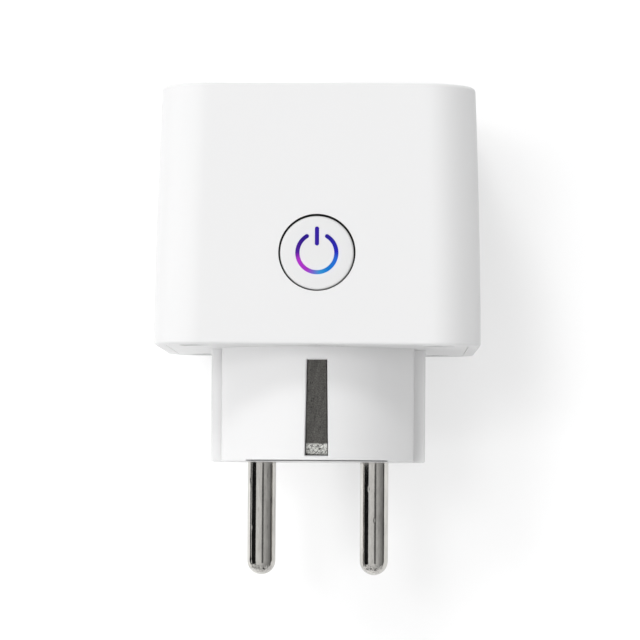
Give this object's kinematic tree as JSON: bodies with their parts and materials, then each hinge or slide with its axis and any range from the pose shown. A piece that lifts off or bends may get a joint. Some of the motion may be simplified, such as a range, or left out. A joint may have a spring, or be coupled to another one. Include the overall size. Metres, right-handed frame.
{
  "type": "smart plug",
  "caption": "Compact smart plug: barrel-tapered square casing, recessed earthed socket in front, round plug neck with side earth strips behind, lit push button on top.",
  "frame": {"origin": "centre of the plug's engagement face, midway between the pins", "axes": "+Y along the pins into the wall, -Y out of the socket, +Z out of the button, X along the pin pitch"},
  "size_m": [0.0536, 0.0806, 0.0536],
  "materials": {
    "white_casing": "fine satin gloss, moulded",
    "inner_plastic": "moulded",
    "plated_metal": "nickel plated, polished",
    "brass_contact": "stamped",
    "copper": "stamped or wound copper",
    "steel": "zinc plated",
    "iron": "soft iron",
    "light_symbol": "clear guide, lit blue to violet",
    "led": "milky diffuser",
    "black_plastic": "moulded",
    "circuit_board": "green solder mask",
    "relay_blue": "moulded",
    "winding_tape": "polyester tape",
    "ferrite": "sintered",
    "capacitor_sleeve": "shrink sleeve",
    "film_capacitor": "moulded box",
    "varistor_coat": "epoxy dip",
    "resistor_coat": "flameproof coat"
  },
  "bodies": {
    "casing": {"outer_shell": "white_casing", "back_cover": "white_casing", "socket_insert": "white_casing", "pin_line": "plated_metal", "pin_neutral": "plated_metal", "plug_earth_contact_top": "plated_metal", "plug_earth_contact_bottom": "plated_metal", "earth_bridge": "brass_contact", "socket_earth_clip_top": "plated_metal", "socket_earth_clip_bottom": "plated_metal", "contact_carrier": "inner_plastic", "contact_sleeve_line": "brass_contact", "contact_sleeve_neutral": "brass_contact", "shutter_spring": "steel", "carrier_screw_1": "steel", "carrier_screw_2": "steel", "cover_screw_1": "steel", "cover_screw_2": "steel", "cover_screw_3": "steel", "cover_screw_4": "steel", "button_board": "circuit_board", "tact_switch_body": "black_plastic", "indicator_led_left": "led", "indicator_led_right": "led", "light_collar": "black_plastic", "board_link_header": "black_plastic", "main_board": "circuit_board", "relay_base": "black_plastic", "relay_cover": "relay_blue", "relay_bobbin": "black_plastic", "relay_winding": "copper", "relay_core": "iron", "relay_yoke": "iron", "relay_fixed_contact": "copper", "transformer_core": "ferrite", "transformer_winding": "winding_tape", "mains_capacitor": "capacitor_sleeve", "output_capacitor": "capacitor_sleeve", "film_capacitor": "film_capacitor", "varistor": "varistor_coat", "fusible_resistor": "resistor_coat", "rectifier": "black_plastic", "metering_chip": "black_plastic", "current_shunt": "copper", "wifi_board": "circuit_board", "wifi_shield": "steel", "filter_choke": "ferrite"},
    "button": {"button_cap": "white_casing", "symbol_light_guide": "light_symbol"},
    "switch_plunger": {"tact_switch_plunger": "inner_plastic"},
    "shutter": {"child_shutter": "inner_plastic"},
    "armature": {"relay_armature": "iron", "relay_moving_contact": "copper"}
  },
  "joints": [
    {"name": "button_press", "type": "slide", "parent": "casing", "child": "button", "axis": [0, 0, -1], "range_m": [0, 0.0005], "stiffness_N_per_m": 3000},
    {"name": "tact_plunger_press", "type": "slide", "parent": "casing", "child": "switch_plunger", "axis": [0, 0, -1], "range_m": [0, 0.0005]},
    {"name": "shutter_turn", "type": "hinge", "parent": "casing", "child": "shutter", "pos_m": [0, -0.0408, 0], "axis": [0, 1, 0], "range_deg": [0, 38], "stiffness_Nm_per_rad": 0.01},
    {"name": "relay_armature_turn", "type": "hinge", "parent": "casing", "child": "armature", "pos_m": [0.0042, -0.0264, -0.0108], "axis": [0, 0, -1], "range_deg": [0, 3.6], "stiffness_Nm_per_rad": 0.05}
  ],
  "couplings": [
    {"joint": "tact_plunger_press", "follows": "button_press", "ratio": 1}
  ]
}
